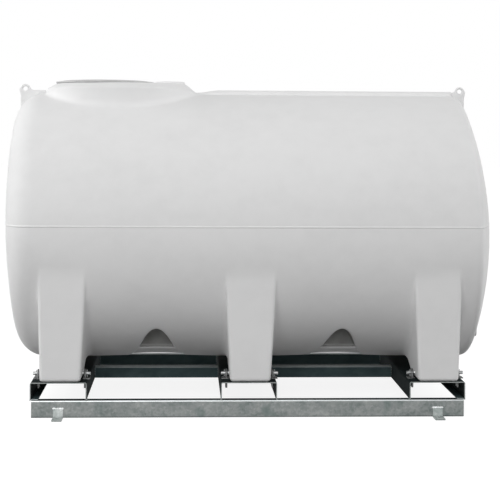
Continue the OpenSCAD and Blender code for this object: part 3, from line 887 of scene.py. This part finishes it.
def u_bolt(bm, x, y):
    """Round rod bent over the pin. Its legs go through a clamp plate and the bearer, with nuts below."""
    arch = [
        Vector((x, y + BOLT_BEND * math.cos(a), PIN_Z + BOLT_BEND * math.sin(a)))
        for a in np.linspace(0, math.pi, 17)
    ]
    near, far = Vector((x, y + BOLT_BEND, 0)), Vector((x, y - BOLT_BEND, 0))
    up = [near + Vector((0, 0, z)) for z in (BOLT_LOW, BOLT_LOW + 0.001, BEARER_TOP)]
    down = [far + Vector((0, 0, z)) for z in (BEARER_TOP, BOLT_LOW + 0.001, BOLT_LOW)]
    rod(bm, up + arch + down, BOLT_R, 16)
    washer = [(0, -WASHER_T), (WASHER_R, -WASHER_T), (WASHER_R, 0), (0, 0)]
    under = BEARER_TOP - BEARER_T
    for leg in (near, far):
        lathe(bm, washer, leg + Vector((0, 0, under)), (0, 0, 1), 24)
        hex_nut(bm, leg + Vector((0, 0, under - WASHER_T - NUT_H)), NUT_ACROSS, NUT_H)


def build_clamps():
    """Two U-bolts on each pin, one either side of the foot, each through its own clamp plate."""
    for row, front in ROWS.items():
        for name, x in STATIONS.items():
            bm = bmesh.new()
            y = front * PIN_Y
            for side in (-1, 1):
                u_bolt(bm, x + side * BOLT_X, y)
                inner = x + side * (FOOT_HALF + PLATE_GAP)
                outer = x + side * (FOOT_HALF + PLATE_GAP + PLATE_L)
                top = BEARER_TOP + PLATE_T
                bevelled_box(bm, (inner, y - PLATE_HALF, BEARER_TOP), (outer, y + PLATE_HALF, top), 0.0012)
            clamp = bm_object(f"clamps_{row}_{name}", bm, 35)
            finish_piece(clamp, CLAMP, (f"u_bolts_{row}_{name}",))


def build_pins():
    """Turned pins with shouldered, chamfered ends and a split pin through each end."""
    for row, front in ROWS.items():
        for name, x in STATIONS.items():
            bm = bmesh.new()
            end, thin, shoulder = PIN_HALF, PIN_R - PIN_STEP, FOOT_HALF + SHOULDER_GAP
            half = [(0, end), (thin - 0.002, end), (thin, end - 0.002)]
            half += [(thin, shoulder), (PIN_R - 0.001, shoulder - 0.001), (PIN_R, shoulder - 0.003)]
            profile = [(r, -h) for r, h in half] + [(r, h) for r, h in reversed(half)]
            centre = Vector((x, front * PIN_Y, PIN_Z))
            lathe(bm, profile, centre, (1, 0, 0), 32)
            for side in (-1, 1):
                middle, reach = centre + Vector((side * (end - SPLIT_PIN_IN), 0, 0)), SPLIT_PIN_HALF
                heights = (-reach, 0.001 - reach, reach - 0.001, reach)
                rod(bm, [middle + Vector((0, 0, z)) for z in heights], SPLIT_PIN_R, 8)
            pin = bm_object(f"clamp_pin_{row}_{name}", bm, 35)
            finish_piece(pin, ZINC, (f"pin_{row}_{name}",))


def build_end_lips():
    """Lips folded inwards along the lower edges of the frame's two end plates."""
    for name, side in (("left", -1), ("right", 1)):
        plate = side * (LEG_PITCH + BEARER_HALF - BEARER_T) + FRAME_SHIFT
        lip = plate - side * END_LIP_W
        y, z = FRAME_Y - 0.006, RAIL_H + 0.0005
        bm = bmesh.new()
        bevelled_box(bm, (plate, -y, z), (lip, y, z + END_LIP_T), 0.0015)
        finish_piece(bm_object(f"end_lip_{name}", bm, 35), STEEL)


def weld(bm, start, end, radius, out):
    """Rippled bead from start to end, with tapered ends."""
    start, end = Vector(start), Vector(end)
    length = (end - start).length
    count = max(int(length / BEAD_STEP), 6)
    along = (end - start).normalized()
    out = Vector(out).normalized()
    up = out.cross(along)
    rings = []
    for k in range(count + 1):
        t = k / count
        taper = math.sqrt(max(1 - abs(2 * t - 1) ** 6, 0.02))
        r = radius * taper * (0.86 + 0.14 * math.cos(2 * math.pi * k / 4))
        rings.append(ring_of(bm, start + (end - start) * t, out, up, r, BEAD_SIDES))
    for a, b in zip(rings, rings[1:]):
        for j in range(BEAD_SIDES):
            k = (j + 1) % BEAD_SIDES
            bm.faces.new((a[j], a[k], b[k], b[j]))
    bm.faces.new(rings[0])
    bm.faces.new(rings[-1])


def build_frame_welds():
    """Beads where bearers stand on rails and spreaders meet bearers."""
    bm = bmesh.new()
    for front in ROWS.values():
        for x in STATIONS.values():
            for side in (-1, 1):
                edge = x + FRAME_SHIFT + side * BEARER_HALF
                y0, y1 = front * (FRAME_Y - 0.004), front * (FRAME_Y - 0.048)
                weld(bm, (edge, y0, RAIL_H), (edge, y1, RAIL_H), RAIL_BEAD, (side, 0, 1))
    for bay in (-1, 1):
        for back in (0.0, SPREADER_BACK):
            for side in (-1, 1):
                x = FRAME_SHIFT + bay * LEG_PITCH / 2 + side * (LEG_PITCH / 2 - BEARER_HALF)
                y = back - SPREADER_FACE
                weld(bm, (x, y, RAIL_H + 0.008), (x, y, RAIL_H + 0.064), SPREADER_BEAD, (-side, -1, 0))
    finish_piece(bm_object("weld_beads", bm, 60), STEEL)


def build_bracket_welds():
    """Bright beads along the tops of the hold-downs, where they meet the rails."""
    bm = bmesh.new()
    for front in ROWS.values():
        for x in (-LEG_PITCH, LEG_PITCH):
            y = front * (FRAME_Y + 0.001)
            left, right = x + FRAME_SHIFT - BRACKET_HALF, x + FRAME_SHIFT + BRACKET_HALF
            weld(bm, (left, y, BRACKET_TOP), (right, y, BRACKET_TOP), BRACKET_BEAD, (0, front, 1))
    finish_piece(bm_object("bracket_weld_beads", bm, 60), BEAD)


build_moulding()
build_seam()
for side_name, lug_x in LUG_X.items():
    build_lug(side_name, lug_x)
build_lid()
build_outlet()
build_clamps()
build_pins()
build_end_lips()
build_frame_welds()
build_bracket_welds()

# ---- CAD nodes that stay get their materials, by the first word of their names ----

STEELS = {"hold": BRACKET, "spreader": SPREADER, "bearer": BEARER, "front": FRONT_RAIL}
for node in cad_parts.values():
    if not node.hide_render:
        node.data.materials.clear()
        node.data.materials.append(STEELS.get(node.name.split("_")[0], STEEL))

# ---- Stage, light and camera ----


def split_by_ray(n, unseen, seen):
    """One shader for the light on the object, another for what is seen, mirrored or seen through."""
    path = n.add("ShaderNodeLightPath").outputs
    looked_at = n.math("MAXIMUM", path["Is Camera Ray"], path["Is Glossy Ray"])
    looked_at = n.math("MAXIMUM", looked_at, path["Is Transmission Ray"])
    mix = n.add("ShaderNodeMixShader")
    for socket, value in zip(mix.inputs, (looked_at, unseen, seen)):
        n.link(value, socket)
    n.link(mix.outputs[0], n.output.inputs["Surface"])


def make_floor():
    """Pale floor that shows the object's shadow and throws little light back up."""
    n = Nodes(bpy.data.materials.new("floor"))
    dim = n.shader("ShaderNodeBsdfDiffuse", Color=grey(FLOOR_DIM))
    pale = n.shader("ShaderNodeBsdfDiffuse", Color=grey(FLOOR_PALE))
    glow = n.shader("ShaderNodeEmission", Color=grey(1.0), Strength=FLOOR_GLOW)
    both = n.add("ShaderNodeAddShader")
    n.link(pale, both.inputs[0])
    n.link(glow, both.inputs[1])
    split_by_ray(n, dim, both.outputs[0])
    a = FLOOR_HALF
    floor = mesh_from("floor", [(-a, -a, 0), (a, -a, 0), (a, a, 0), (-a, a, 0)], [(0, 1, 2, 3)])
    floor.data.materials.append(n.owner)


def make_world():
    """Overcast sky, brighter at the horizon than overhead. What is seen of it is plain white."""
    n = Nodes(bpy.data.worlds.new("world"), "ShaderNodeOutputWorld")
    height = n.xyz(n.add("ShaderNodeTexCoord").outputs["Generated"])["Z"]
    strength = n.remap(height, 0.0, 1.0, HORIZON, OVERHEAD)
    sky = n.shader("ShaderNodeBackground", Color=grey(1.0), Strength=strength)
    white = n.shader("ShaderNodeBackground", Color=grey(1.0), Strength=1.0)
    split_by_ray(n, sky, white)
    SCENE.world = n.owner


def area_light(name, at, aim, power, size=(5.0, 4.0)):
    """Rectangular lamp turned towards a point, with its power in watts."""
    light = bpy.data.lights.new(name, "AREA")
    light.shape = "RECTANGLE"
    light.size, light.size_y = size
    light.energy = power
    obj = link(bpy.data.objects.new(name, light))
    obj.location = at
    obj.rotation_euler = (Vector(aim) - Vector(at)).to_track_quat("-Z", "Y").to_euler()


def make_camera():
    """Level camera at eye height. The photograph's frame is set by the lens shift."""
    turn, roll = CAMERA_TURN, CAMERA_ROLL
    forward = Vector((math.sin(turn), math.cos(turn), 0))
    level = Vector((math.cos(turn), -math.sin(turn), 0))
    up = Vector((0, 0, 1))
    right = level * math.cos(roll) + up * math.sin(roll)
    top = up * math.cos(roll) - level * math.sin(roll)
    data = bpy.data.cameras.new("camera")
    data.sensor_width, data.lens, data.shift_y = SENSOR, LENS, SHIFT_Y
    data.clip_start, data.clip_end = 0.1, 200
    cam = link(bpy.data.objects.new("camera", data))
    rot = Matrix((right, top, -forward)).transposed()
    cam.matrix_world = Matrix.Translation(CAMERA_AT) @ rot.to_4x4()
    SCENE.camera = cam


make_floor()
make_world()
area_light("key", (-2.2, -7.4, 6.4), (0, 0, 1.0), 182)
area_light("front_low", (-1.6, -8.6, 1.3), (0, 0, 1.0), 88)
area_light("fill_left", (-8.0, 0.5, 3.0), (-1.4, 0, 1.1), 200, (4.0, 4.0))
area_light("fill_right", (8.0, 0.5, 3.0), (1.4, 0, 1.1), 140, (4.0, 4.0))
make_camera()
SCENE.view_settings.view_transform = "Standard"
